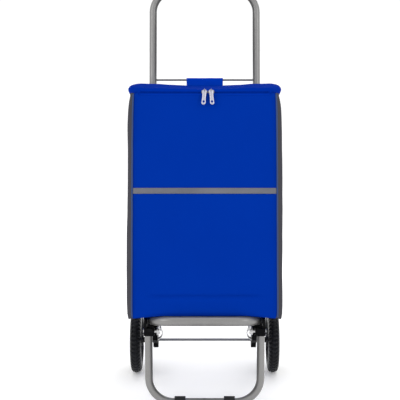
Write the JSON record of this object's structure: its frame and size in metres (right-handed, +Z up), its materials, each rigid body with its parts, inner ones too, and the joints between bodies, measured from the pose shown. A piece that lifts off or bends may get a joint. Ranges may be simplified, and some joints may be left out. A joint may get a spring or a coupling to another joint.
{
  "type": "folding shopping trolley",
  "caption": "Soft bag on a leaning tube frame with two wheels, a fold-up bag platform and a front leg on a parallel linkage.",
  "frame": {"origin": "middle of the footprint, on the floor", "axes": "+Z up, the front of the trolley faces -Y, +X to the right seen from the front"},
  "size_m": [0.374, 0.3851, 0.9728],
  "materials": {
    "tube": "silver-grey enamel, satin",
    "zinc": "zinc-plated steel",
    "black_plastic": "moulded, fine grain",
    "grip": "soft grip",
    "rubber": "moulded rubber",
    "tyre": "block tread",
    "blue_cloth": "blue polyester weave",
    "grey_cloth": "grey polyester weave",
    "piping": "corded binding",
    "strip": "grey reflective tape",
    "zip": "coil zip",
    "chrome": "nickel plated",
    "board": "stiff board"
  },
  "bodies": {
    "frame": {"handle_tube": "tube", "grip": "grip", "hook_rod": "zinc", "side_moulding_l": "black_plastic", "side_moulding_r": "black_plastic", "moulding_rivets": "zinc", "axle_stay_l": "zinc", "axle_stay_r": "zinc", "axle": "zinc", "axle_spacers": "black_plastic", "push_caps": "zinc", "platform_pins": "zinc", "link_pins_rear": "zinc", "bag_back": "blue_cloth", "bag_side_l": "grey_cloth", "bag_side_r": "grey_cloth", "bag_front": "blue_cloth", "bag_bottom": "blue_cloth", "piping_l": "piping", "piping_r": "piping", "reflective_strip": "strip", "hanging_loop": "blue_cloth"},
    "platform": {"platform_arms": "tube", "arm_plugs": "black_plastic", "platform_wires": "zinc"},
    "board": {"base_board": "board"},
    "leg": {"leg_tube": "tube", "leg_bracket_l": "black_plastic", "leg_bracket_r": "black_plastic", "bracket_rivets": "zinc", "leg_pins": "zinc", "link_pins_front": "zinc", "foot_l": "rubber", "foot_r": "rubber"},
    "link_left": {"link_l": "zinc"},
    "link_right": {"link_r": "zinc"},
    "wheel_left": {"tyre_l": "tyre", "rim_l": "black_plastic"},
    "wheel_right": {"tyre_r": "tyre", "rim_r": "black_plastic"},
    "lid": {"lid": "blue_cloth"},
    "zip_front": {"zip_tape": "zip"},
    "slider_left": {"zip_slider_l": "chrome"},
    "slider_right": {"zip_slider_r": "chrome"},
    "pull_left": {"zip_pull_l": "chrome"},
    "pull_right": {"zip_pull_r": "chrome"}
  },
  "joints": [
    {"name": "platform_fold", "type": "hinge", "parent": "frame", "child": "platform", "pos_m": [0, -0.03257, 0.17992], "axis": [-1, 0, 0], "range_deg": [0, 78], "deforming": ["bag_side_l", "bag_side_r", "bag_front", "bag_bottom", "piping_l", "piping_r", "reflective_strip", "lid"]},
    {"name": "leg_fold", "type": "hinge", "parent": "platform", "child": "leg", "pos_m": [0, -0.13491, 0.20205], "axis": [-1, 0, 0], "range_deg": [-79, 1]},
    {"name": "link_fold_left", "type": "hinge", "parent": "frame", "child": "link_left", "pos_m": [0, -0.05746, 0.15992], "axis": [-1, 0, 0], "range_deg": [-1, 79]},
    {"name": "link_fold_right", "type": "hinge", "parent": "frame", "child": "link_right", "pos_m": [0, -0.05746, 0.15992], "axis": [-1, 0, 0], "range_deg": [-1, 79]},
    {"name": "board_fold", "type": "hinge", "parent": "frame", "child": "board", "pos_m": [0, -0.00475, 0.19028], "axis": [-1, 0, 0], "range_deg": [-1, 91]},
    {"name": "wheel_spin_left", "type": "hinge", "parent": "frame", "child": "wheel_left", "pos_m": [0, 0.1002, 0.0825], "axis": [1, 0, 0], "continuous": true},
    {"name": "wheel_spin_right", "type": "hinge", "parent": "frame", "child": "wheel_right", "pos_m": [0, 0.1002, 0.0825], "axis": [1, 0, 0], "continuous": true},
    {"name": "lid_open", "type": "hinge", "parent": "frame", "child": "lid", "pos_m": [0, 0.11625, 0.7295], "axis": [-1, 0, 0], "range_deg": [0, 80]},
    {"name": "zip_front_fold", "type": "slide", "parent": "frame", "child": "zip_front", "axis": [0, 0.9774, -0.2113], "range_m": [-0.001, 0.1694]},
    {"name": "zip_slide_left", "type": "slide", "parent": "zip_front", "child": "slider_left", "axis": [-1, 0, 0], "range_m": [0, 0.142]},
    {"name": "zip_slide_right", "type": "slide", "parent": "zip_front", "child": "slider_right", "axis": [1, 0, 0], "range_m": [0, 0.128]},
    {"name": "pull_swing_left", "type": "hinge", "parent": "slider_left", "child": "pull_left", "pos_m": [0, -0.08221, 0.72778], "axis": [-1, 0, 0], "range_deg": [0, 140]},
    {"name": "pull_swing_right", "type": "hinge", "parent": "slider_right", "child": "pull_right", "pos_m": [0, -0.08221, 0.72778], "axis": [-1, 0, 0], "range_deg": [0, 140]}
  ],
  "couplings": [
    {"joint": "board_fold", "follows": "platform_fold", "ratio": 1.1538},
    {"joint": "leg_fold", "follows": "platform_fold", "ratio": -1},
    {"joint": "link_fold_left", "follows": "platform_fold", "ratio": 1},
    {"joint": "link_fold_right", "follows": "platform_fold", "ratio": 1},
    {"joint": "zip_front_fold", "follows": "platform_fold", "m_per_rad": 0.12297}
  ]
}
